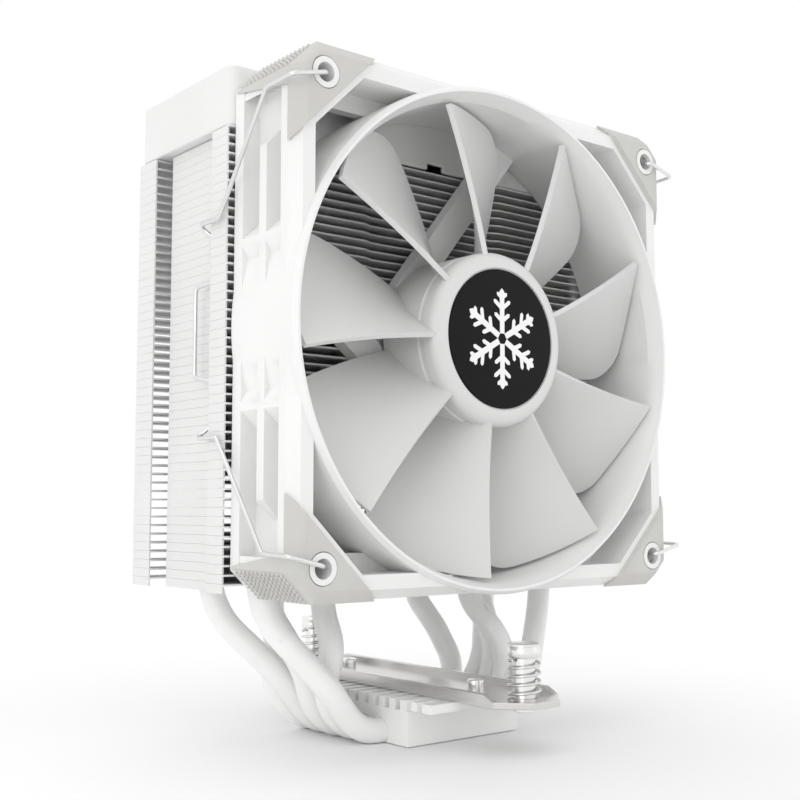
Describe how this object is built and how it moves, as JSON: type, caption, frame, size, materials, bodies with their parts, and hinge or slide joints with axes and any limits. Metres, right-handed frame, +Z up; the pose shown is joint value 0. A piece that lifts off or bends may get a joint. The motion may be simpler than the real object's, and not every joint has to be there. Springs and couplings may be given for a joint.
{
  "type": "cpu tower cooler",
  "caption": "White tower heatsink with bent heat pipes, a stack of thin fins, a top cover and a wire-clipped axial fan.",
  "frame": {"origin": "centre of the contact face under the base, where the base and the milled heat pipes meet the processor lid", "axes": "+Z up out of the processor through the tower; -Y towards the fan side, the front; +X to the right seen from the fan"},
  "size_m": [0.1252, 0.0976, 0.1551],
  "materials": {
    "base_block": "white painted, smooth",
    "heat_pipe": "white coated, smooth",
    "fin_stack": "white coated sheet",
    "top_cover": "white, satin",
    "mounting_bar": "white painted steel",
    "bar_rivets": "plated steel",
    "screw": "plated steel",
    "spring": "plated spring wire",
    "retaining_ring": "plated steel",
    "fan_frame": "white, satin",
    "corner_pad": "soft, warm light grey",
    "impeller": "white, satin",
    "hub_badge": "black printed foil",
    "rotor_yoke": "pressed steel",
    "rotor_magnet": "bonded ferrite",
    "rotor_shaft": "ground steel",
    "shaft_lock_washer": "natural nylon",
    "sleeve_bearing": "sintered bronze",
    "bearing_tube": "turned",
    "stator_core": "stacked sheet",
    "stator_coils": "enamelled copper wire",
    "motor_circuit_board": "solder mask",
    "rear_label": "printed film",
    "wire_clip": "bright spring wire"
  },
  "bodies": {
    "cooler": {"base_block": "base_block", "heat_pipe_1": "heat_pipe", "heat_pipe_2": "heat_pipe", "heat_pipe_3": "heat_pipe", "heat_pipe_4": "heat_pipe", "heat_pipe_5": "heat_pipe", "fin_stack": "fin_stack", "top_cover": "top_cover", "mounting_bar": "mounting_bar", "bar_rivets": "bar_rivets", "screw_spring_front": "spring", "screw_spring_rear": "spring", "fan_frame": "fan_frame", "corner_pad_top_left": "corner_pad", "corner_pad_top_right": "corner_pad", "corner_pad_bottom_left": "corner_pad", "corner_pad_bottom_right": "corner_pad", "sleeve_bearing": "sleeve_bearing", "bearing_tube": "bearing_tube", "stator_core": "stator_core", "stator_coils": "stator_coils", "motor_circuit_board": "motor_circuit_board", "rear_label": "rear_label"},
    "rotor": {"impeller": "impeller", "hub_badge": "hub_badge", "rotor_yoke": "rotor_yoke", "rotor_magnet": "rotor_magnet", "rotor_shaft": "rotor_shaft", "shaft_lock_washer": "shaft_lock_washer"},
    "clip_left": {"wire_clip_left": "wire_clip"},
    "clip_right": {"wire_clip_right": "wire_clip"},
    "ring_front": {"retaining_ring_front": "retaining_ring"},
    "screw_front": {"spring_screw_front": "screw"},
    "ring_rear": {"retaining_ring_rear": "retaining_ring"},
    "screw_rear": {"spring_screw_rear": "screw"}
  },
  "joints": [
    {"name": "rotor_spin", "type": "hinge", "parent": "cooler", "child": "rotor", "pos_m": [0, -0.0366, 0.095], "axis": [0, -1, 0], "continuous": true},
    {"name": "clip_left_swing", "type": "hinge", "parent": "cooler", "child": "clip_left", "pos_m": [-0.0529, -0.0344, 0.095], "axis": [0, 0, 1], "range_deg": [0, 30]},
    {"name": "clip_right_swing", "type": "hinge", "parent": "cooler", "child": "clip_right", "pos_m": [0.0529, -0.0344, 0.095], "axis": [0, 0, -1], "range_deg": [0, 30]},
    {"name": "screw_front_press", "type": "slide", "parent": "cooler", "child": "ring_front", "axis": [0, 0, -1], "range_m": [0, 0.004], "stiffness_N_per_m": 3000, "springref_m": -0.002, "deforming": ["screw_spring_front"]},
    {"name": "screw_front_turn", "type": "hinge", "parent": "ring_front", "child": "screw_front", "pos_m": [0, -0.0416, 0.015], "axis": [0, 0, 1], "continuous": true},
    {"name": "screw_rear_press", "type": "slide", "parent": "cooler", "child": "ring_rear", "axis": [0, 0, -1], "range_m": [0, 0.004], "stiffness_N_per_m": 3000, "springref_m": -0.002, "deforming": ["screw_spring_rear"]},
    {"name": "screw_rear_turn", "type": "hinge", "parent": "ring_rear", "child": "screw_rear", "pos_m": [0, 0.0416, 0.015], "axis": [0, 0, 1], "continuous": true}
  ]
}
